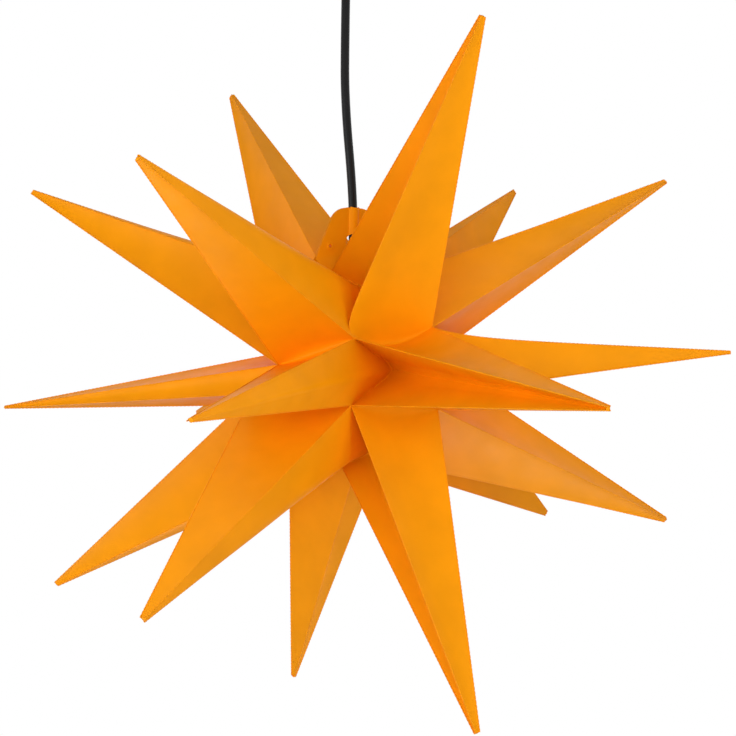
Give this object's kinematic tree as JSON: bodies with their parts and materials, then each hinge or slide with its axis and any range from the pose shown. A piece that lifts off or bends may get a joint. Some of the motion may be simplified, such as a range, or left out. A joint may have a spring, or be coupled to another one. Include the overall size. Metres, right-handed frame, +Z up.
{
  "type": "star pendant light",
  "caption": "Folded plastic sheet star of long spikes hanging on a black cord from a ceiling rose, with a bulb in a screw holder inside; it swings and turns.",
  "frame": {"origin": "middle of the ceiling plate's top face, midway between its two screw holes", "axes": "+Z up to the ceiling, -Y the front as pictured, +X to the right"},
  "size_m": [0.5437, 0.4988, 0.5809],
  "materials": {
    "star_sheet": "satin orange polypropylene sheet with a fine grain and sewn ridges",
    "cord_sheath": "smooth black sheath",
    "rose_plastic": "fine matt black",
    "holder_plastic": "moulded black",
    "plate_steel": "zinc plated sheet",
    "screw_steel": "zinc plated",
    "terminal_plastic": "cream moulded",
    "lead_insulation": "smooth wire insulation",
    "contact_brass": "plain brass",
    "bulb_plastic": "white moulded",
    "globe_plastic": "opal diffuser",
    "board_aluminium": "white coated core board"
  },
  "bodies": {
    "ceiling_fitting": {"ceiling_plate": "plate_steel", "ceiling_rose": "rose_plastic", "rose_screws": "screw_steel", "cord_grip": "rose_plastic", "grip_nut": "rose_plastic", "terminal_block": "terminal_plastic", "terminal_screws": "screw_steel", "cord_tail": "cord_sheath", "rose_leads": "lead_insulation"},
    "cord_swing": {"cord_bend": "cord_sheath"},
    "pendant": {"pendant_cord": "cord_sheath", "holder_cap": "holder_plastic", "holder_skirt": "holder_plastic", "holder_insert": "terminal_plastic", "holder_contacts": "contact_brass", "holder_leads": "lead_insulation"},
    "bulb": {"bulb_screw_cap": "contact_brass", "bulb_contact": "contact_brass", "bulb_body": "bulb_plastic", "bulb_globe": "globe_plastic", "led_board": "board_aluminium"},
    "star": {"upper_front_left_spike": "star_sheet", "upper_front_right_spike": "star_sheet", "upper_right_spike": "star_sheet", "upper_rear_right_spike": "star_sheet", "upper_rear_left_spike": "star_sheet", "upper_left_spike": "star_sheet", "middle_front_left_spike": "star_sheet", "middle_front_right_spike": "star_sheet", "middle_right_spike": "star_sheet", "middle_rear_right_spike": "star_sheet", "middle_rear_left_spike": "star_sheet", "middle_left_spike": "star_sheet", "lower_front_left_spike": "star_sheet", "lower_front_right_spike": "star_sheet", "lower_right_spike": "star_sheet", "lower_rear_right_spike": "star_sheet", "lower_rear_left_spike": "star_sheet", "lower_left_spike": "star_sheet", "front_tab": "star_sheet", "rear_tab": "star_sheet", "tab_rivets": "star_sheet"}
  },
  "joints": [
    {"name": "swing_sideways", "type": "hinge", "parent": "ceiling_fitting", "child": "cord_swing", "pos_m": [0, 0, -0.039], "axis": [0, 1, 0], "range_deg": [-18, 18]},
    {"name": "swing_to_and_fro", "type": "hinge", "parent": "cord_swing", "child": "pendant", "pos_m": [0, 0, -0.039], "axis": [1, 0, 0], "range_deg": [-18, 18]},
    {"name": "star_turn", "type": "hinge", "parent": "pendant", "child": "star", "pos_m": [0.005, 0, -0.33], "axis": [0, 0, 1], "continuous": true},
    {"name": "bulb_unscrew", "type": "slide", "parent": "pendant", "child": "bulb", "axis": [0, 0, -1], "range_m": [0, 0.022]}
  ]
}
